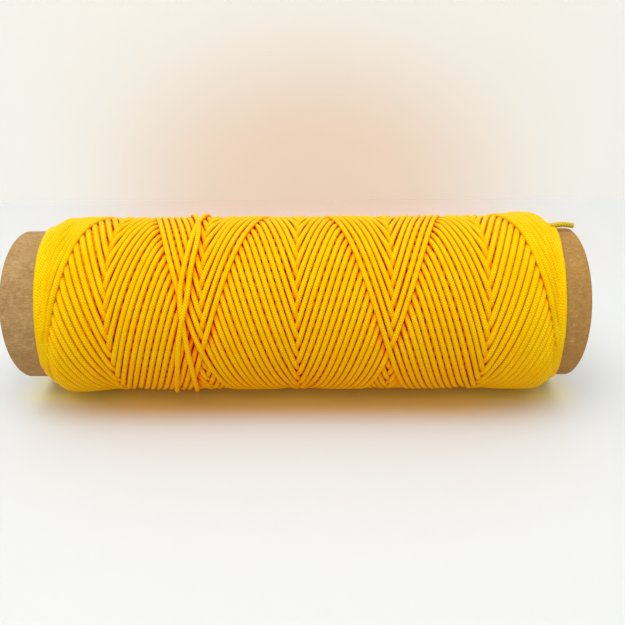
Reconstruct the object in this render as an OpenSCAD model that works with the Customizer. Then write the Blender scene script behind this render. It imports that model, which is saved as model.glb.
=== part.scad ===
// Spool of braided fishing line: one line cross-wound on a spiral-wound paper tube.
// Millimetres. +X runs along the tube, +Z is up and the origin is the middle of the bore.
// The spool lies on its winding.

/* [Paper tube] */
// Length of the tube
tube_len = 110; // [90:1:160]
// Bore of the tube, which a spindle fits
bore_d = 25.4; // [16:0.1:50]
// Thickness of one ply of paper
ply_t = 0.4; // [0.3:0.05:0.8]
// Crushed edge of the cut ends
edge_break = 0.2; // [0.1:0.05:0.25]

/* [Line] */
// Diameter of the braided line
line_d = 1; // [0.6:0.05:1.4]
// Space left where one turn passes over another
turn_gap = 0.45; // [0.42:0.01:0.7]

/* [Winding] */
// Width of the winding, outside of the end turns
wind_w = 100; // [70:0.1:105]
// Offset of the winding's middle from the tube's middle
wind_shift = 0.65; // [-2:0.05:2]
// Thickness of the inner layers under the outer turns
inner_t = 0.45; // [0.3:0.05:3]
// Corner taken off the inner layers at each end
inner_chamfer = 0.25; // [0.1:0.05:0.3]
// Turns in one pass from end to end
pass_turns = 3; // [2:1:3]
// Pairs of passes side by side round the tube
pass_pairs = 4; // [2:1:4]
// Angle over which an end turn curves, each side of its farthest point
round_deg = 80; // [60:1:100]
// Angle over which the line changes level at an end
climb_deg = 60; // [45:1:75]
// Angle round the tube of the first pass, from the front over the top
first_deg = 157.5; // [7.5:15:352.5]
// Arc left free between the two ends of the outer turns
end_arc = 45; // [45:15:90]

/* [Start of the line] */
// Length of the tail that shows past the end turns
tail_len = 4.6; // [2:0.1:5]
// Angle of the tail past an end turn's farthest point
tail_past = 35; // [30:1:38]

/* [Hidden] */
$fn = 96;
PLY_NODES = ["inner_ply", "second_ply", "third_ply", "fourth_ply", "fifth_ply", "outer_ply"];

KRAFT = [0.70, 0.57, 0.37];
YELLOW = [0.96, 0.75, 0.10];

// Running clearance between line and what it lies on
seat = 0.05;
ply_count = len(PLY_NODES);
bore_r = bore_d / 2;
tube_r = bore_r + ply_count * ply_t;
inner_r = tube_r + inner_t;

// The line passes on two levels: rising passes lie low, falling passes cross over them.
low_r = inner_r + seat + line_d / 2;
high_r = low_r + line_d + turn_gap;
wind_r = high_r + line_d / 2;
// The winding rests on a flat that a tenth of the line deep is pressed away
rest_z = -(wind_r - line_d / 10);

// A loop has 24 rings of 6 corners each.
RINGS = 24;
CORNERS = 6;
step = 360 / RINGS;
pass_deg = 360 * (pass_turns - 1 / (2 * pass_pairs));
all_deg = 2 * pass_pairs * pass_deg;
end_x = (wind_w - line_d) / 2;
// Where a pass would turn if its end were a sharp corner
sharp_x = end_x / (1 - round_deg / pass_deg);
slope = 2 * sharp_x / pass_deg;

function ease(v) =
    let (c = max(0, min(1, v)))
    c * c * (3 - 2 * c);

// Degrees from a sharp end, rounded off near it
function rounded(q) = q > round_deg ? q : (q * q + round_deg * round_deg) / (2 * round_deg);

// Distance along the tube at t degrees of winding, from the right end
function along(t) =
    let (p = (t + 2 * pass_deg) % (2 * pass_deg))
    let (q = min(p, 2 * pass_deg - p))
    q < pass_deg / 2
        ? sharp_x - slope * rounded(q)
        : slope * rounded(pass_deg - q) - sharp_x;

// 0 on the low level, 1 on the high one
function lift(t) =
    let (p = (t + 2 * pass_deg) % (2 * pass_deg))
    p < pass_deg / 2 ? ease(p / climb_deg + 0.5)
    : p < 1.5 * pass_deg ? ease(0.5 - (p - pass_deg) / climb_deg)
    : ease((p - 2 * pass_deg) / climb_deg + 0.5);

// Point at angle a round the tube, from the front over the top
function round_tube(x, r, a) = [x, -r * cos(a), r * sin(a)];

// The straight sides between rings touch the round that the line follows.
function route(t) = round_tube(
    wind_shift + along(t),
    (low_r + (high_r - low_r) * lift(t)) / cos(step / 2),
    first_deg + t);

// The line starts low at the right end, and stops short of where it started.
start_deg = -step * ceil(climb_deg / 2 / step);
line_degs = [for (t = [start_deg : step : all_deg + start_deg - end_arc]) t];
line_points = [for (t = line_degs) route(t)];
line_count = len(line_points);

function unit(v) = v / norm(v);

function heading(i) = unit(
    line_points[min(i + 1, line_count - 1)] - line_points[max(i - 1, 0)]);

// Corners of one ring, with a flat side outwards, none below the rest plane
function ring(i) =
    let (ahead = heading(i))
    let (side = unit(cross(ahead, round_tube(0, 1, first_deg + line_degs[i]))))
    let (out = cross(side, ahead))
    let (r = line_d / 2 / cos(180 / CORNERS))
    [for (k = [0 : CORNERS - 1])
        let (b = 360 / CORNERS * (k + 0.5))
        let (c = line_points[i] + r * (cos(b) * out + sin(b) * side))
        [c.x, c.y, max(c.z, rest_z)]];

// Triangles of a closed tube of n rings
function tube_faces(n) = concat(
    [for (k = [1 : CORNERS - 2]) [0, k, k + 1]],
    [for (k = [1 : CORNERS - 2]) [0, k + 1, k] + (n - 1) * CORNERS * [1, 1, 1]],
    [for (i = [0 : n - 2], k = [0 : CORNERS - 1], half = [0, 1])
        let (a = i * CORNERS + k)
        let (b = i * CORNERS + (k + 1) % CORNERS)
        half == 0 ? [a, a + CORNERS, b + CORNERS] : [a, b + CORNERS, b]]);

// Least space between two turns, on the points of neighbouring rings
turn_space = min([for (i = [0 : line_count - 1 - RINGS / 2])
    min([for (loop = [1 : ceil((line_count - i) / RINGS)], near = [-1 : 1])
        let (j = i + loop * RINGS + near)
        j < line_count ? norm(line_points[i] - line_points[j]) - line_d : wind_w])]);
echo(str("Loops of line: ", (line_count - 1) / RINGS));
echo(str("Least gap of the outer turns to themselves: ", turn_space, " mm"));

// Turns a shape built along +Z so that it lies along +X
module along_x() {
    rotate([0, 90, 0]) children();
}

// Section of a sleeve from radius a to b, with its inner and outer edges cut back by ca and cb
module sleeve(a, b, length, ca, cb) {
    h = length / 2;
    along_x()
        rotate_extrude()
        polygon(concat(
            ca > 0 ? [[a, ca - h], [a + ca, -h]] : [[a, -h]],
            cb > 0 ? [[b - cb, -h], [b, cb - h], [b, h - cb], [b - cb, h]] : [[b, -h], [b, h]],
            ca > 0 ? [[a + ca, h], [a, h - ca]] : [[a, h]]));
}

// One ply; the edges of the bore and of the outer ply are crushed where the tube was cut
module ply(k) {
    a = bore_r + k * ply_t;
    color(KRAFT)
        sleeve(a, a + ply_t, tube_len, k == 0 ? edge_break : 0, k == ply_count - 1 ? edge_break : 0);
}

// The layers of line that the outer turns cover
module inner_layers() {
    color(YELLOW)
        translate([wind_shift, 0, 0])
        sleeve(tube_r, inner_r, wind_w, 0, inner_chamfer);
}

// The outer layer: one unbroken line that winds to and fro in crossing passes
module outer_turns() {
    color(YELLOW)
        polyhedron(
            points = [for (i = [0 : line_count - 1]) each ring(i)],
            faces = tube_faces(line_count));
}

// The cut start of the line, which comes out under an end turn and droops to the tube
module start_tail() {
    tail_r = (inner_r + high_r - line_d / 2) / 2;
    drop = tail_r - tube_r - line_d / 2 - seat;
    bend_r = tail_len * tail_len / (2 * drop);
    start_x = wind_shift + along(tail_past) - 0.35 * line_d;
    tail_deg = first_deg + 2 * pass_deg + tail_past;
    color(YELLOW)
        rotate([90 - tail_deg, 0, 0])
        translate([start_x, 0, tail_r]) {
            along_x() cylinder(d = line_d, h = line_d);
            translate([line_d, 0, -bend_r])
                rotate(a = 240, v = [1, 1, 1])
                rotate_extrude(angle = tail_len / bend_r * 180 / PI)
                translate([bend_r, 0])
                circle(d = line_d);
        }
}

for (k = [0 : ply_count - 1]) {
    ply(k);
}
inner_layers();
outer_turns();
start_tail();
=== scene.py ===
"""Fishing line spool: a braided yellow line, cross-wound on a spiral-wound paper tube."""

import math

import bpy
import numpy as np
from mathutils import Matrix, Vector


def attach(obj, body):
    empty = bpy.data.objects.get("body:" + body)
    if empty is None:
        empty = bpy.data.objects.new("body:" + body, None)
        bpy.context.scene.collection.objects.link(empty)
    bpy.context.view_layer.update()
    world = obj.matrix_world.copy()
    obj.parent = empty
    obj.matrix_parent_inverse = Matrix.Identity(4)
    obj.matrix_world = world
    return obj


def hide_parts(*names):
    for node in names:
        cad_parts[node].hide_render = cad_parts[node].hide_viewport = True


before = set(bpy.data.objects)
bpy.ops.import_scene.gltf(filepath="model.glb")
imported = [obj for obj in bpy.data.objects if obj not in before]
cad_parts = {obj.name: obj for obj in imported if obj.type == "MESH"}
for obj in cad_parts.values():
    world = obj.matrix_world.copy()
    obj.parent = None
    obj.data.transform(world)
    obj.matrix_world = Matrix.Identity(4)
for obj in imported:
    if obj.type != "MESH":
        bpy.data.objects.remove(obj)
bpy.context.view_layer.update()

# ---------------------------------------------------------------- sizes, in millimetres
MM = 0.001
TUBE_R = 15.1            # outside of the paper tube
LINE_D = 1.0             # the line
LINE_R = LINE_D / 2
LINE_HIGH = 0.88 * LINE_D  # drawn down on the winding, it is a little flat
MEAN_R = 17.0            # the winding, halfway through
CREST_R = 18.12          # highest middle of a line between the shoulders
SHOULDER_X = 36.0        # from here out the shoulders rise
LEAN_IN = 2.6            # how far each end of the package leans in at the front
FLOOR_Z = -17.98         # what the spool lies on
WALL_Y = 111.0           # the backdrop

# The winding: passes from end to end, each just under three turns round the tube
PAIRS = 28               # pairs of passes before the pattern closes
PASS_DEG = 360 * (3 - 1 / (2 * PAIRS))
PASSES = 81
MIDDLE_PASS = 25         # where the middle layers begin
TOP_PASS = 53            # where the top layers begin
LOOSE_PASSES = 58        # passes, from the first, whose turns are spread over the package's ends
LAST_DEG = -2.0          # angle round the tube at which the last full pass starts
# Where rising and falling passes always cross, from the right end to the left
CROSSINGS = [35.35, 17.85, 0.6, -16.75, -34.25]
RIGHT_LAG = 16.0         # degrees by which a pass turns before its starting angle
LEFT_LAG = 27.0
# Where the last passes would turn if they didn't slip back along the package's ends
RIGHT_END = 50.26
LEFT_END = -49.1
# How firmly a line is pressed into those below: its height over them as a share of its radius
PASS_SQUASH = 0.74
FINISH_SQUASH = 0.5
STRAY = 0.055            # how far a turn strays from its place

# The finishing turns, which begin this many degrees after the last turn at the left end
FINISH_AFTER = 300
# Degrees after that last turn, and the line's place along the tube there
FINISH = [
    (38, -46.4), (59, -44.7), (78, -43.2), (99, -42.0), (122, -40.4), (148, -38.3),
    (178, -35.7), (235, -30.6), (291, -25.2), (330, -21.6), (352, -19.8), (379, -19.4),
    (392, -19.7), (404, -19.9), (411, -20.2), (425, -20.6), (435, -20.5), (444, -20.0),
    (462, -19.3), (478, -18.9), (488, -18.7), (510, -18.1), (600, -21.4), (685, -25.7),
    (720, -23.5), (744, -22.0), (764, -21.1), (771, -20.6), (780, -19.7), (789, -19.0),
    (798, -18.9), (810, -18.5), (822, -17.9), (838, -18.1), (852, -19.4), (866, -20.9),
    (885, -22.4), (925, -24.2),
]

# Radius of the package over its ends: distance in from the end, then the radius there
LEFT_SHOULDER = (
    [-1, 0, 1.5, 3, 4, 5.2, 6.5, 8.5, 10, 12],
    [15.5, 15.7, 16.4, 17.3, 17.85, 18.25, 18.38, 18.35, 18.2, 18.05],
)
RIGHT_SHOULDER = (
    [-1, 0, 0.5, 1.7, 2.9, 4.1, 6, 12, 18],
    [15.5, 15.8, 16.2, 17.0, 17.8, 18.1, 18.2, 18.15, 18.05],
)
# What the left shoulder has over that at its foot, and the right one at its top
LEFT_EXTRA = ([1, 4, 7, 12], [0, 0.45, 0.35, 0])
RIGHT_EXTRA = ([2, 5, 7.5, 9, 15], [0, 0.7, 0.6, 0.3, 0.1])

# Grid on which the line is laid: cells along the tube and round it
CELL = 0.05
GRID_X = -57.0
ROWS = int(114 / CELL)
STEP = 0.5
COLS = int(360 / STEP)
ASIDE = range(-12, 13)   # rows that a line can cover, from its middle
NOWHERE = -1e9           # height of no line at all
FRONT = 30.0             # angle round the tube that faces the viewer
EACH = 8                 # samples of the line between two rings of its mesh


# ---------------------------------------------------------------- small helpers
def srgb(code):
    """Linear colour of a written hex colour."""
    parts = [int(code[i : i + 2], 16) / 255 for i in (0, 2, 4)]
    return tuple(c / 12.92 if c <= 0.04045 else ((c + 0.055) / 1.055) ** 2.4 for c in parts) + (1.0,)


def add(tree, kind, inputs=None, **settings):
    """A node of that kind; inputs are values or the sockets that feed them."""
    made = tree.nodes.new(kind)
    for name, value in settings.items():
        setattr(made, name, value)
    for name, value in (inputs or {}).items():
        if isinstance(value, bpy.types.NodeSocket):
            tree.links.new(value, made.inputs[name])
        else:
            made.inputs[name].default_value = value
    return made


def calc(tree, operation, a, b=0.0, c=0.0):
    """Output of a Math node."""
    return add(tree, "ShaderNodeMath", {0: a, 1: b, 2: c}, operation=operation).outputs[0]


def ramp(tree, value, low, high, start=0.0, end=1.0, **settings):
    """Output that goes from start to end while value goes from low to high."""
    inputs = {0: value, 1: low, 2: high, 3: start, 4: end}
    return add(tree, "ShaderNodeMapRange", inputs, **settings).outputs[0]


def noise(tree, place, scale, detail, **more):
    """Output of a noise over place."""
    inputs = {"Vector": place, "Scale": scale, "Detail": detail, **more}
    return add(tree, "ShaderNodeTexNoise", inputs).outputs[0]


def mix(tree, share, a, b):
    """Output of a colour mix."""
    made = add(tree, "ShaderNodeMix", {"Factor": share}, data_type="RGBA")
    for socket, value in ((made.inputs[6], a), (made.inputs[7], b)):
        if isinstance(value, bpy.types.NodeSocket):
            tree.links.new(value, socket)
        else:
            socket.default_value = value
    return made.outputs[2]


def blur(values, sigma, axis=0, wrap=False):
    """Smooths an array along one axis with a bell of that many cells."""
    reach = int(4 * sigma)
    bell = np.exp(-0.5 * (np.arange(-reach, reach + 1) / sigma) ** 2)
    bell /= bell.sum()
    moved = np.moveaxis(values, axis, -1)
    pad = [(0, 0)] * (moved.ndim - 1) + [(reach, reach)]
    padded = np.pad(moved, pad, mode="wrap" if wrap else "edge")
    out = np.zeros(moved.shape)
    for k, share in enumerate(bell):
        out += share * padded[..., k : k + moved.shape[-1]]
    return np.moveaxis(out, -1, axis)


def highest(values, reach, axis, wrap):
    """Highest value within reach cells along one axis."""
    moved = np.moveaxis(values, axis, -1)
    pad = [(0, 0)] * (moved.ndim - 1) + [(reach, reach)]
    padded = np.pad(moved, pad, mode="wrap" if wrap else "edge")
    out = moved.copy()
    for k in range(2 * reach + 1):
        out = np.maximum(out, padded[..., k : k + moved.shape[-1]])
    return np.moveaxis(out, -1, axis)


def draped(heights, reach, reach_deg, soft, soft_deg):
    """A smooth skin over a grid of heights: first its highest places nearby, then softened, along and round."""
    skin = highest(highest(heights, int(reach / CELL), 0, False), int(reach_deg / STEP), 1, True)
    return blur(blur(skin, soft / CELL), soft_deg / STEP, 1, True)


# ---------------------------------------------------------------- the line's route
def facing(angle):
    """1 at the front of the tube, 0 from its top round the back to its foot."""
    return np.maximum(0, np.cos(np.radians(angle - FRONT)))


def left_turn(angle):
    """Where the line turns at the left end, which bulges a little at its foot."""
    foot = np.maximum(0, -np.sin(np.radians(angle)))
    return -50.35 + LEAN_IN * facing(angle) - 0.5 * foot


def right_turn(angle):
    """Where the line turns at the right end."""
    return 51.7 - LEAN_IN * facing(angle)


def route():
    """Degrees wound and place along the tube, for the whole line from its start to its cut end."""
    first = LAST_DEG - (PASSES - 1) * PASS_DEG
    degrees, places = [], []
    for p in range(PASSES):
        start = p * PASS_DEG
        if p % 2 == 0:
            turn, crossings = start - RIGHT_LAG, CROSSINGS
            end = RIGHT_END + 0.08 * min(PASSES - p, 26)
        else:
            turn, crossings = start - LEFT_LAG, CROSSINGS[::-1]
            end = LEFT_END - 0.16 * min(PASSES - p, 10)
        degrees.append(turn)
        places.append(end)
        for k, x in enumerate(crossings):
            degrees.append(start + (k + 1) * PASS_DEG / 6)
            places.append(x)
    # One more half pass from the left end, which slows into the finishing turns
    turn = PASSES * PASS_DEG - LEFT_LAG
    degrees.append(turn)
    places.append(LEFT_END)
    for after, x in FINISH:
        degrees.append(turn + after)
        places.append(x)
    t = np.arange(int(degrees[-1] / STEP)) * STEP
    x = blur(np.interp(t, degrees, places), 6 / STEP)
    # Hand of the winder: each turn strays a little from its place
    chance = np.random.RandomState(11)
    marks = np.arange(0, t[-1] + 90, 45)
    stray = np.interp(t, marks, chance.normal(0, 1, len(marks)))
    x = x + STRAY * blur(stray, 20 / STEP)
    # The line slips back along the end of the package, and runs round there before it leaves.
    # The later passes, which show, all slip back to about the same place
    slip = np.round((t + (RIGHT_LAG + LEFT_LAG) / 2) / PASS_DEG).astype(int)
    spread = np.where(np.arange(PASSES + 3) < LOOSE_PASSES, 2.0, 0.2)
    inset = (chance.uniform(0, 1, PASSES + 3) * spread)[slip]
    x = np.clip(x, left_turn(first + t) + inset, right_turn(first + t) + 0.45 - inset)
    return t, blur(x, 3 / STEP), first, turn


def cells(x, angle):
    """Rows and columns of the grid for places along the tube and round it."""
    return np.round((x - GRID_X) / CELL).astype(int), np.round(angle / STEP).astype(int) % COLS


def leaning(x):
    """Share that is left of a step along the tube when it is measured square to the line, for each sample."""
    slope = np.gradient(x) / (math.radians(STEP) * MEAN_R)
    return 1 / np.sqrt(1 + slope ** 2)


def lay(t, x, angle, tops, lows, begin, end, squash):
    """Lays the line from sample begin to end on what lies there, taut, and returns the radius of its middle."""
    lean = leaning(x)[begin:end]
    row, col = cells(x[begin:end], angle[begin:end])
    # A soft line bears on most of its width
    foot = 0.8 * LINE_R
    press = squash * LINE_R / foot
    rest = np.full(end - begin, NOWHERE)
    for o in ASIDE:
        off = o * CELL * lean
        arch = np.sqrt(np.maximum(foot ** 2 - off ** 2, 0)) * press
        rest = np.maximum(rest, np.where(np.abs(off) < foot, lows[row + o, col] + arch, NOWHERE))
    # A taut line lies on the highest places and goes straight between them
    s = np.radians(t[begin:end] - t[begin]) * MEAN_R
    level = rest - s * s / (2 * MEAN_R)
    hull = []
    for q in range(len(s)):
        while len(hull) > 1:
            a, b = hull[-2], hull[-1]
            if (level[b] - level[a]) * (s[q] - s[a]) <= (level[q] - level[a]) * (s[b] - s[a]):
                hull.pop()
            else:
                break
        hull.append(q)
    middle = np.interp(s, s[hull], level[hull]) + s * s / (2 * MEAN_R)
    for o in ASIDE:
        off = o * CELL * lean
        arch = np.sqrt(np.maximum(LINE_R ** 2 - off ** 2, 0))
        over = np.where(np.abs(off) < LINE_R, middle + arch, NOWHERE)
        tops[row + o, col] = np.maximum(tops[row + o, col], over)
        arch = np.sqrt(np.maximum(foot ** 2 - off ** 2, 0)) * press
        over = np.where(np.abs(off) < foot, middle + arch, NOWHERE)
        lows[row + o, col] = np.maximum(lows[row + o, col], over)
    return middle


def package_outline():
    """Radius of the finished package on the grid: shoulders at both ends, even between them."""
    along = GRID_X + CELL * np.arange(ROWS)[:, None]
    angle = STEP * np.arange(COLS)[None, :]
    from_left = along - (left_turn(angle) - LINE_R)
    from_right = (right_turn(angle) + LINE_R) - along
    outline = np.minimum(np.interp(from_left, *LEFT_SHOULDER), np.interp(from_right, *RIGHT_SHOULDER))
    # The shoulders stand up a little, the right one least where the spool lies on it
    upper = np.maximum(0, np.sin(np.radians(angle)))
    lower = np.maximum(0, np.cos(np.radians(angle + 50)))
    outline = outline + lower * np.interp(from_left, *LEFT_EXTRA)
    return outline + upper * np.interp(from_right, *RIGHT_EXTRA) - 0.12 * upper


def wind():
    """The whole line in millimetres, wound pass by pass on the tube and drawn down to the package's outline.

    Returns its points, the degrees wound at each, those at its last turn at the left end, and the outermost line's
    radius on the grid.
    """
    t, x, first, last_turn = route()
    angle = first + t
    tops = np.full((ROWS, COLS), TUBE_R)
    lows = tops.copy()
    turns = [p * PASS_DEG - (RIGHT_LAG if p % 2 == 0 else LEFT_LAG) for p in range(1, PASSES)]
    turns += [last_turn, last_turn + FINISH_AFTER]
    edges = [0] + [int(turn / STEP) for turn in turns]
    middle = np.zeros(len(t))
    for begin, end in zip(edges, edges[1:]):
        middle[begin:end] = lay(t, x, angle, tops, lows, begin, end, PASS_SQUASH)
    surface = tops.copy()
    # The finishing turns, one round and then the rest
    edges = [edges[-1], edges[-1] + COLS, len(t)]
    for begin, end in zip(edges, edges[1:]):
        middle[begin:end] = lay(t, x, angle, tops, lows, begin, end, FINISH_SQUASH)

    # Each line is drawn down, or let up a little, by what its surroundings stand over the outline
    broad = draped(surface, 0.6, 2, 0.8, 3)
    local = draped(surface, 0.35, 1.5, 0.3, 1.5)
    shell = np.maximum(local, 0.45 * broad + 0.55 * local)
    draw = np.clip(package_outline() - shell, -9, 1.2)
    row, col = cells(x, angle)
    radius = middle + draw[np.clip(row, 0, ROWS - 1), col]
    radius = np.maximum(blur(radius, 2 / STEP), TUBE_R + 0.9 * LINE_R)
    # The finishing turns are drawn in between the ones below
    radius = np.where(np.abs(x) < SHOULDER_X, np.minimum(radius, CREST_R), radius)
    turned = np.radians(angle)
    points = np.stack([x, -radius * np.cos(turned), radius * np.sin(turned)], 1)
    # The turns under the spool are pressed flat where it lies
    points[:, 2] = np.maximum(points[:, 2], FLOOR_Z + LINE_R - 0.02)

    cover = np.full((ROWS, COLS), TUBE_R)
    lean = leaning(x)
    for o in ASIDE:
        off = o * CELL * lean
        over = radius + LINE_HIGH / 2 * np.sqrt(np.maximum(1 - (off / LINE_R) ** 2, 0))
        np.maximum.at(cover, (row + o, col), np.where(np.abs(off) < LINE_R, over, TUBE_R))
    return points, t, last_turn, draped(cover, 0.4, 1.5, 0.3, 1.5)


def depth_under(cover, spots):
    """Depth of spots, in millimetres, under the outermost line; it sets the nylon's painted shade and glow."""
    angle = np.degrees(np.arctan2(spots[:, 2], -spots[:, 1]))
    row, col = cells(spots[:, 0], angle)
    depth = np.maximum(cover[np.clip(row, 0, ROWS - 1), col] - np.hypot(spots[:, 1], spots[:, 2]), 0)
    # On the shoulders the package itself slopes away, and the depth, and so the painted shade and glow, is lessened
    # there
    return depth * np.interp(np.abs(spots[:, 0]), [34, 46], [1.0, 0.35])


# ---------------------------------------------------------------- the line's mesh
def line_tree():
    """Sweeps a round section along a route; place along the line and place round it are kept as the UV map."""
    tree = bpy.data.node_groups.new("swept_line", "GeometryNodeTree")
    for label, kind in (
        ("Route", "Geometry"), ("Height", "Float"), ("Width", "Float"), ("Sides", "Int"), ("Finish", "Material"),
    ):
        tree.interface.new_socket(label, in_out="INPUT", socket_type="NodeSocket" + kind)
    tree.interface.new_socket("Line", in_out="OUTPUT", socket_type="NodeSocketGeometry")
    given = add(tree, "NodeGroupInput").outputs

    def kept(geometry, label, place):
        """Captures a place along a curve, in millimetres or as a share."""
        held = add(tree, "GeometryNodeCaptureAttribute", {"Geometry": geometry})
        held.capture_items.new("FLOAT", label)
        tree.links.new(add(tree, "GeometryNodeSplineParameter").outputs[place], held.inputs[label])
        return held.outputs["Geometry"], held.outputs[label]

    # The section's own up is outwards from the tube
    place = add(tree, "ShaderNodeSeparateXYZ", {0: add(tree, "GeometryNodeInputPosition").outputs[0]}).outputs
    outward = add(tree, "ShaderNodeCombineXYZ", {1: place[1], 2: place[2]}).outputs[0]
    turned = add(
        tree, "GeometryNodeSetCurveNormal", {"Curve": given["Route"], "Normal": outward}, mode="FREE"
    ).outputs[0]
    run, along = kept(turned, "Along", "Length")
    corners = calc(tree, "ADD", given["Sides"], 1)
    arc = add(tree, "GeometryNodeCurveArc", {
        "Resolution": corners, "Radius": 0.5, "Start Angle": 0.0, "Sweep Angle": 2 * math.pi,
    })
    oval = add(tree, "ShaderNodeCombineXYZ", {0: given["Height"], 1: given["Width"], 2: 1.0}).outputs[0]
    section = add(tree, "GeometryNodeTransform", {"Geometry": arc.outputs["Curve"], "Scale": oval}).outputs[0]
    ring, around = kept(section, "Round", "Factor")
    swept = add(tree, "GeometryNodeCurveToMesh", {
        "Curve": run, "Profile Curve": ring, "Scale": add(tree, "GeometryNodeInputRadius").outputs[0],
    })
    uv = add(tree, "ShaderNodeCombineXYZ", {0: calc(tree, "MULTIPLY", along, 1 / MM), 1: around}).outputs[0]
    mapped = add(
        tree, "GeometryNodeStoreNamedAttribute", {"Geometry": swept.outputs[0], "Name": "UVMap", "Value": uv},
        data_type="FLOAT2", domain="CORNER",
    )
    welded = add(tree, "GeometryNodeMergeByDistance", {"Geometry": mapped.outputs[0], "Distance": 1e-6})
    smooth = add(tree, "GeometryNodeSetShadeSmooth", {"Geometry": welded.outputs[0]})
    whole = add(tree, "GeometryNodeRealizeInstances", {"Geometry": smooth.outputs[0]})
    done = add(tree, "GeometryNodeSetMaterial", {"Geometry": whole.outputs[0], "Material": given["Finish"]})
    add(tree, "NodeGroupOutput", {"Line": done.outputs[0]})
    return tree


def swept_line(name, points, sides, finish, height=LINE_HIGH, width=LINE_D):
    """A piece of line along points in millimetres, as a plain closed mesh."""
    curve = bpy.data.curves.new(name + "_route", "CURVE")
    curve.dimensions = "3D"
    spline = curve.splines.new("POLY")
    # Both ends close on their middle, a little proud
    proud = 0.03 * (points[[0, -1]] - points[[1, -2]])
    points = np.vstack([points[0] + proud[0], points, points[-1] + proud[1]])
    # Near the package's ends the line is slacker, and so fuller
    slack = np.clip((np.abs(points[:, 0]) - 30) / 13, 0, 1)
    radii = 1 + 0.16 * slack * slack * (3 - 2 * slack)
    radii[[0, -1]] = 0.0
    spline.points.add(len(points) - 1)
    places = np.column_stack([points * MM, np.ones(len(points))])
    spline.points.foreach_set("co", places.astype(np.float32).ravel())
    spline.points.foreach_set("radius", radii.astype(np.float32))
    maker = bpy.data.objects.new(name + "_maker", curve)
    bpy.context.scene.collection.objects.link(maker)
    sweep = maker.modifiers.new("sweep", "NODES")
    sweep.node_group = LINE_TREE
    given = {"Height": height * MM, "Width": width * MM, "Sides": sides, "Finish": finish}
    for socket in LINE_TREE.interface.items_tree:
        if socket.in_out == "INPUT" and socket.name in given:
            sweep[socket.identifier] = given[socket.name]
    bpy.context.view_layer.update()
    shown = maker.evaluated_get(bpy.context.evaluated_depsgraph_get())
    mesh = bpy.data.meshes.new_from_object(shown)
    mesh.name = name
    spots = np.empty(3 * len(mesh.vertices), np.float32)
    mesh.vertices.foreach_get("co", spots)
    # Depth under the outermost line, which sets the painted shade and glow of the nylon
    depth = mesh.attributes.new("Depth", "FLOAT", "POINT")
    depth.data.foreach_set("value", depth_under(cover, spots.reshape(-1, 3) / MM).astype(np.float32))
    piece = bpy.data.objects.new(name, mesh)
    bpy.context.scene.collection.objects.link(piece)
    bpy.data.objects.remove(maker)
    bpy.data.curves.remove(curve)
    return piece


# ---------------------------------------------------------------- finishes
def new_finish(name, rough, shine):
    """A material with one shader, its tree and that shader."""
    finish = bpy.data.materials.new(name)
    finish.use_nodes = True
    tree = finish.node_tree
    tree.nodes.clear()
    shader = add(tree, "ShaderNodeBsdfPrincipled", {"Roughness": rough, "Specular IOR Level": shine})
    out = add(tree, "ShaderNodeOutputMaterial")
    tree.links.new(shader.outputs[0], out.inputs["Surface"])
    return finish, tree, shader


def object_place(tree):
    """Place in the object's own metres."""
    return add(tree, "ShaderNodeTexCoord").outputs["Object"]


def braided(name, light, mean, groove_shade, deep_shade, hollow_shade, rough, glow):
    """Braided nylon: eight yarns, four each way, of satin filament.

    It has painted shade: darker in the grooves between yarns, and darker and redder where lines lie close, for light
    that goes from line to line or through one; a painted glow there stands in for that light.
    """
    finish, tree, shader = new_finish(name, rough, 0.06)
    uv = add(tree, "ShaderNodeUVMap", uv_map="UVMap").outputs[0]
    part = add(tree, "ShaderNodeSeparateXYZ", {0: uv}).outputs
    lead = 2.15  # millimetres of line for one turn of a yarn
    run = calc(tree, "MULTIPLY", part[0], 4 / lead)
    ring = calc(tree, "MULTIPLY", part[1], 4.0)
    one = calc(tree, "SINE", calc(tree, "MULTIPLY", calc(tree, "ADD", ring, run), math.pi))
    other = calc(tree, "SINE", calc(tree, "MULTIPLY", calc(tree, "SUBTRACT", ring, run), math.pi))
    # Crowns where a yarn passes over, grooves between yarns, which are painted darker, as shade
    crown = calc(tree, "MULTIPLY", calc(tree, "ABSOLUTE", one), calc(tree, "ABSOLUTE", other))
    crown = calc(tree, "POWER", crown, 0.8)
    drift = ramp(tree, noise(tree, object_place(tree), 260.0, 3.0), 0.35, 0.65)
    tint = mix(tree, crown, groove_shade, mix(tree, drift, mean, light))
    # Painted shade: the deeper under the outermost line, the darker and redder, as light that has gone from line to
    # line, or through one, comes out redder
    under = add(tree, "ShaderNodeAttribute", attribute_name="Depth").outputs["Fac"]
    tint = mix(tree, ramp(tree, under, 0.1, 1.0), tint, deep_shade)
    sunken_shade_share = ramp(tree, under, 0.8, 1.15)
    tint = mix(tree, sunken_shade_share, tint, hollow_shade)
    # Painted glow: the gaps glow a little by depth, standing in for light come through the line; less from 0.9 to
    # 1.25 mm deep, more again below
    painted_glow = ramp(tree, under, 0.1, 0.6, 0.0, glow)
    glow_fade = ramp(tree, under, 0.9, 1.25, 1.0, 0.4)
    deepest_glow = ramp(tree, under, 1.25, 1.6, 0.0, 1.2 * glow)
    painted_glow = calc(tree, "ADD", calc(tree, "MULTIPLY", painted_glow, glow_fade), deepest_glow)
    tree.links.new(painted_glow, shader.inputs["Emission Strength"])
    tree.links.new(mix(tree, sunken_shade_share, deep_shade, hollow_shade), shader.inputs["Emission Color"])
    tree.links.new(tint, shader.inputs["Base Color"])
    shader.inputs["Specular Tint"].default_value = light
    bump = add(tree, "ShaderNodeBump", {"Height": crown, "Strength": 0.8, "Distance": 0.06 * MM})
    tree.links.new(bump.outputs[0], shader.inputs["Normal"])
    return finish


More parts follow.
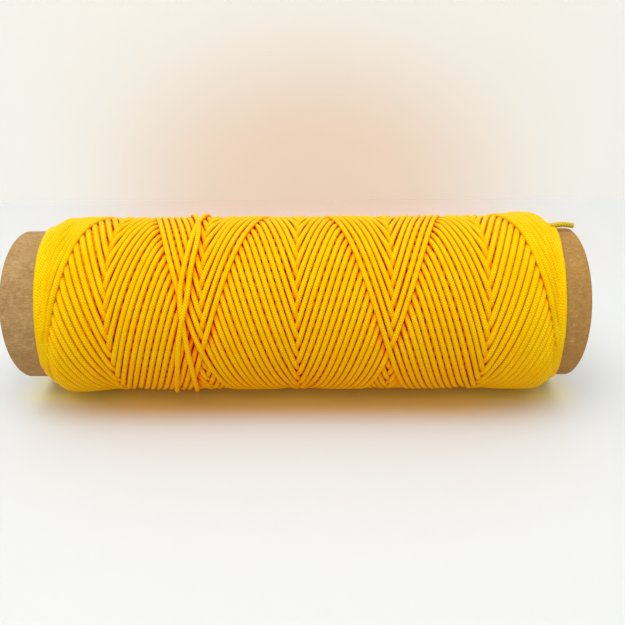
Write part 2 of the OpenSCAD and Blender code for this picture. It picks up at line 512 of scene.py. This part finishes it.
def kraft(name, base, bounce_warmed, dark, pale):
    """Kraft board: mottled pulp with short dark and pale fibres, painted a little warmer towards the right end, as
    bounce light from the yellow line.
    """
    finish, tree, shader = new_finish(name, 0.85, 0.25)
    place = object_place(tree)

    def stretched(**inputs):
        return add(tree, "ShaderNodeMapping", {"Vector": place, **inputs}).outputs[0]

    cloud = ramp(tree, noise(tree, place, 300.0, 6.0, Roughness=0.62), 0.3, 0.7)
    # Pulp drawn out along the web, which runs near enough along the tube
    drawn = noise(tree, stretched(Scale=(1300, 2900, 2900)), 1.0, 4.0, Roughness=0.7)
    drawn = ramp(tree, drawn, 0.36, 0.64)
    cloud = calc(tree, "ADD", calc(tree, "MULTIPLY", cloud, 0.45), calc(tree, "MULTIPLY", drawn, 0.55))
    across = add(tree, "ShaderNodeSeparateXYZ", {0: place}).outputs[0]
    # Painted bounce light: the colour goes warmer towards the right end
    body = mix(tree, ramp(tree, across, -0.05, 0.05), base, bounce_warmed)
    tint = mix(tree, cloud, dark, body)
    # Fibres: their stretch, colour, thickness and strength
    fibres = []
    for turn, (stretch, colour, edge, share) in enumerate((
        ((900, 2600, 2600), pale, 0.030, 0.55),
        ((2400, 1000, 2200), dark, 0.028, 0.6),
        ((1500, 1500, 3200), srgb("7d5a33"), 0.020, 0.55),
    )):
        vein = stretched(Scale=stretch, Location=(turn * 3.1, turn * 1.7, 0))
        vein = noise(tree, vein, 1.0, 2.0, Distortion=0.6)
        vein = ramp(tree, calc(tree, "ABSOLUTE", calc(tree, "SUBTRACT", vein, 0.5)), edge, 0.0)
        patch = ramp(tree, noise(tree, place, 900.0 + 170 * turn, 1.0), 0.52, 0.62)
        vein = calc(tree, "MULTIPLY", vein, patch)
        tint = mix(tree, calc(tree, "MULTIPLY", vein, share), tint, colour)
        fibres.append(vein)
    tree.links.new(tint, shader.inputs["Base Color"])
    # Only the pale fibres stand up
    grain = calc(tree, "ADD", cloud, calc(tree, "MULTIPLY", fibres[0], 0.6))
    bump = add(tree, "ShaderNodeBump", {"Height": grain, "Strength": 0.5, "Distance": 0.05 * MM})
    tree.links.new(bump.outputs[0], shader.inputs["Normal"])
    return finish


def hump(tree, across, up, wide, high):
    """1 round the origin, half as much on an oval of that half width and height, 0 far from it."""
    parts = [calc(tree, "MULTIPLY", v, 1 / (size * MM)) for v, size in ((across, wide), (up, high))]
    squares = [calc(tree, "MULTIPLY", v, v) for v in parts]
    far = calc(tree, "POWER", calc(tree, "ADD", *squares), 1.75)
    return calc(tree, "EXPONENT", calc(tree, "MULTIPLY", far, -math.log(2)))


def bounce_floor(name, colour, rings, painted_warm_bounce, painted_foot_glow):
    """Matt card with a painted shadow and painted light thrown back from the line beside the spool, which shows
    other rays a painted warm colour that throws warm light on it.

    Each ring is how far it reaches from under the spool's axis, how softly it ends, its half length and its colour.
    """
    finish, tree, shader = new_finish(name, 0.9, 0.1)
    place = add(tree, "ShaderNodeSeparateXYZ", {0: object_place(tree)}).outputs
    off = calc(tree, "ABSOLUTE", place[0])
    past_end = 0.062  # metres from the middle of the spool: no ring goes further
    # Painted shadow and painted bounce light, in rings beside the spool
    seen = colour
    for reach, soft, half, tint in rings:
        aside = calc(tree, "SUBTRACT", calc(tree, "ABSOLUTE", place[1]), reach * MM)
        aside = calc(tree, "MULTIPLY", calc(tree, "MAXIMUM", aside, 0.0), 1 / (soft * MM))
        share = calc(tree, "EXPONENT", calc(tree, "MULTIPLY", calc(tree, "MULTIPLY", aside, aside), -0.5))
        ends = ramp(tree, off, past_end, half * MM, interpolation_type="SMOOTHSTEP")
        seen = mix(tree, calc(tree, "MULTIPLY", share, ends), seen, tint)
    # The painted glow on the backdrop is painted on over the floor at its foot
    behind = calc(tree, "MULTIPLY", ramp(tree, place[1], 0.04, 0.07), hump(tree, place[0], 0.0, 65, 48))
    seen = mix(tree, behind, seen, painted_foot_glow)
    # Painted bounce: other rays than camera, glossy and transmission rays see a painted warm colour round the spool,
    # which throws warm light on it
    thrown = mix(tree, hump(tree, place[0], place[1], 50, 56), colour, painted_warm_bounce)
    ray = add(tree, "ShaderNodeLightPath").outputs
    viewed = calc(tree, "MAXIMUM", ray["Is Glossy Ray"], ray["Is Transmission Ray"])
    viewed = calc(tree, "MAXIMUM", ray["Is Camera Ray"], viewed)
    tree.links.new(mix(tree, viewed, thrown, seen), shader.inputs["Base Color"])
    return finish


def glowing_card(name, colour, glow, centre, half):
    """Matt card with a painted glow round one place, as by light thrown back from the line."""
    finish, tree, shader = new_finish(name, 0.9, 0.1)
    place = add(tree, "ShaderNodeSeparateXYZ", {0: object_place(tree)}).outputs
    across = calc(tree, "SUBTRACT", place[0], centre[0] * MM)
    up = calc(tree, "SUBTRACT", place[2], centre[1] * MM)
    # Painted glow round one place, which the card's faint emission gives off too
    tint = mix(tree, hump(tree, across, up, *half), colour, glow)
    tree.links.new(tint, shader.inputs["Base Color"])
    tree.links.new(tint, shader.inputs["Emission Color"])
    shader.inputs["Emission Strength"].default_value = 0.055
    # Clear from behind, so that the spool's back can be looked at
    clear = add(tree, "ShaderNodeBsdfTransparent").outputs[0]
    behind = add(tree, "ShaderNodeNewGeometry").outputs["Backfacing"]
    sided = add(tree, "ShaderNodeMixShader", {0: behind, 1: shader.outputs[0], 2: clear})
    tree.links.new(sided.outputs[0], tree.nodes["Material Output"].inputs["Surface"])
    return finish


# ---------------------------------------------------------------- the object
LINE_TREE = line_tree()
yellow = braided(
    "yellow_braided_nylon",
    light=srgb("f8e313"), mean=srgb("f7d508"), groove_shade=srgb("f0aa00"), deep_shade=srgb("f68400"), hollow_shade=srgb("e83400"),
    rough=0.45, glow=0.06,
)
# The cut start's copy of the yellow nylon, painted darker and olive as shade, with no painted glow
shaded_nylon_copy = braided(
    "cut_end_nylon_painted_shade",
    light=srgb("f2da3c"), mean=srgb("dec428"), groove_shade=srgb("b2941a"), deep_shade=srgb("b08018"), hollow_shade=srgb("805010"),
    rough=0.6, glow=0.0,
)
paper = kraft("kraft_paper_ply", srgb("bf9d68"), srgb("b98c44"), srgb("936d3e"), srgb("d8be92"))
board = kraft("grey_kraft_ply", srgb("aa8a5e"), srgb("a88656"), srgb("82633c"), srgb("c4ad86"))

points, wound, last_turn, cover = wind()


def between(a, b):
    """Points of the line from a to b degrees wound, one ring each few degrees."""
    i, j = int(a / STEP), min(int(b / STEP), len(points) - 1)
    i, j = i - i % EACH, j - j % EACH
    return points[i : j + 1 : EACH]


middle_start = MIDDLE_PASS * PASS_DEG
top_start = TOP_PASS * PASS_DEG
finish_start = last_turn + FINISH_AFTER
first_layers = swept_line("first_layers", between(0, middle_start), 8, yellow)
middle_layers = swept_line("middle_layers", between(middle_start, top_start), 10, yellow)
top_layers = swept_line("top_layers", between(top_start, finish_start), 10, yellow)
finishing_turns = swept_line("finishing_turns", between(finish_start, wound[-1]), 12, yellow)

# The cut start: it comes out under the end turns, arches a little and droops to the tube
tail_at = math.radians(97)
tail_x = [46.0, 48.0, 49.6, 50.8, 51.9, 52.9, 53.8, 54.5, 54.9]
tail_r = [15.6, 15.65, 15.85, 16.15, 16.33, 16.38, 16.32, 16.18, 16.05]
steps = np.linspace(tail_x[0], tail_x[-1], 45)
tail_line = blur(np.interp(steps, tail_x, tail_r), 3)
tail_points = np.stack([steps, -tail_line * math.cos(tail_at), tail_line * math.sin(tail_at)], 1)
start_tail = swept_line("cut_start", tail_points, 12, shaded_nylon_copy, 0.9, 0.95)

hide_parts("inner_layers")
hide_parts("outer_turns")
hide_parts("outer_turns")
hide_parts("outer_turns")
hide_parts("start_tail")
for piece in (first_layers, middle_layers, top_layers, finishing_turns, start_tail):
    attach(piece, "root")

for name in ("inner_ply", "second_ply", "third_ply", "fourth_ply", "fifth_ply", "outer_ply"):
    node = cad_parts[name]
    node.data.materials.clear()
    node.data.materials.append(board if name in ("second_ply", "fourth_ply") else paper)


# ---------------------------------------------------------------- the stage
def card(name, corners, finish):
    """A flat sheet of the stage with those corners, in millimetres."""
    mesh = bpy.data.meshes.new(name)
    mesh.from_pydata([Vector(c) * MM for c in corners], [], [(0, 1, 2, 3)])
    mesh.materials.append(finish)
    made = bpy.data.objects.new(name, mesh)
    bpy.context.scene.collection.objects.link(made)


HALF = 1500.0            # half width of the stage
foot_left, foot_right = (-HALF, WALL_Y, FLOOR_Z), (HALF, WALL_Y, FLOOR_Z)
white_card = bounce_floor(
    "white_card", srgb("dadcdc"),
    [(10.5, 3.4, 30, srgb("e1bc6c")), (8, 1.8, 44, srgb("fff07c"))],
    painted_warm_bounce=srgb("e2b464"), painted_foot_glow=srgb("dac4b4"),
)
card("floor", [(-HALF, -HALF, FLOOR_Z), (HALF, -HALF, FLOOR_Z), foot_right, foot_left], white_card)
cream_card = glowing_card("cream_card", srgb("f8f7f1"), srgb("f0dac6"), centre=(2, -18), half=(65, 44))
card("backdrop", [foot_left, foot_right, (HALF, WALL_Y, 1200), (-HALF, WALL_Y, 1200)], cream_card)


def lamp(name, place, size, power):
    """A soft box at that place, in metres, aimed at the spool."""
    data = bpy.data.lights.new(name, "AREA")
    data.shape = "RECTANGLE"
    data.size, data.size_y = size
    data.energy = power
    made = bpy.data.objects.new(name, data)
    made.location = place
    made.rotation_euler = (-Vector(place)).to_track_quat("-Z", "Y").to_euler()
    bpy.context.scene.collection.objects.link(made)


lamp("soft_top", (-0.05, -0.18, 0.67), (0.8, 0.6), 4.65)
lamp("soft_front", (-0.1, -0.7, 0.35), (0.6, 0.4), 0.4)
world = bpy.data.worlds.new("soft_room")
world.use_nodes = True
background = world.node_tree.nodes["Background"]
background.inputs["Color"].default_value = srgb("fcfdff")
background.inputs["Strength"].default_value = 0.4
bpy.context.scene.world = world

# ---------------------------------------------------------------- the camera
VIEW_DEG = 30.0          # how far it looks down
AIM = Vector((12.79, 0, -2.107))  # a spot by the spool's axis
BACK, SIDE = 132.5, 9.54  # how far the camera stands back from that spot, and to the left of it
yaw, roll = math.radians(-0.71), math.radians(0.29)
# Level at first, then rolled, and tilted down round the spool's axis
right = Vector((math.cos(yaw), -math.sin(yaw), 0))
up = Vector((0, 0, 1))
ahead = Vector((math.sin(yaw), math.cos(yaw), 0))
eye = AIM - SIDE * right - BACK * ahead
right, up = right * math.cos(roll) - up * math.sin(roll), right * math.sin(roll) + up * math.cos(roll)
tilt = Matrix.Rotation(-math.radians(VIEW_DEG), 3, "X")
camera_data = bpy.data.cameras.new("camera")
camera_data.sensor_width = 36.0
camera_data.lens = 36.0 * 635.5 / 625
camera_data.clip_start = 0.001
camera = bpy.data.objects.new("camera", camera_data)
turn = Matrix((tilt @ right, tilt @ up, -(tilt @ ahead))).transposed()
camera.matrix_world = Matrix.Translation(tilt @ eye * MM) @ turn.to_4x4()
bpy.context.scene.collection.objects.link(camera)
bpy.context.scene.camera = camera
bpy.context.scene.view_settings.view_transform = "Standard"
